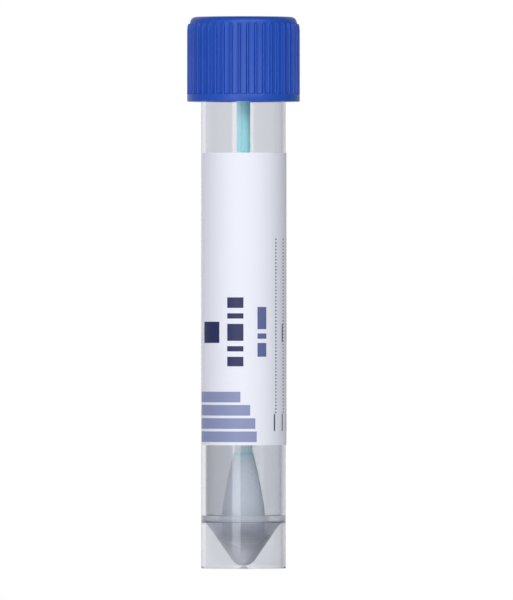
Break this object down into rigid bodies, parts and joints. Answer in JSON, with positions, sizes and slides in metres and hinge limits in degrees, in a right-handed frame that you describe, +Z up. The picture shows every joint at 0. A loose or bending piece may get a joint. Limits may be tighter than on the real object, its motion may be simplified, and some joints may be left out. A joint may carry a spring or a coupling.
{
  "type": "specimen swab tube",
  "caption": "Self-standing clear tube with a conical floor, ribbed blue screw cap, captive foam swab in rinse liquid and a paper wrap label.",
  "frame": {"origin": "centre of the ring that the tube stands on, at the foot of its skirt", "axes": "+Z up along the tube's axis, towards the cap; the label's printed front faces -Y"},
  "size_m": [0.0212, 0.0212, 0.1042],
  "materials": {
    "clear_polypropylene": "moulded, glossy, faintly hazy",
    "blue_polypropylene": "moulded, satin gloss",
    "teal_polystyrene": "moulded, satin",
    "swab_foam": "fine open-cell foam, wet",
    "label_paper": "coated, satin, printed",
    "rinse_solution": "clear liquid"
  },
  "bodies": {
    "tube": {"tube": "clear_polypropylene", "label": "label_paper", "rinse_liquid": "rinse_solution"},
    "swab": {"swab_shaft": "teal_polystyrene", "swab_bud": "swab_foam"},
    "cap": {"screw_cap": "blue_polypropylene"}
  },
  "joints": [
    {"name": "swab_lift", "type": "slide", "parent": "tube", "child": "swab", "axis": [0, 0, 1], "range_m": [0, 0.105], "deforming": ["rinse_liquid"]},
    {"name": "cap_turn", "type": "hinge", "parent": "swab", "child": "cap", "pos_m": [0, 0, 0.0882], "axis": [0, 0, 1], "range_deg": [0, 720]}
  ]
}
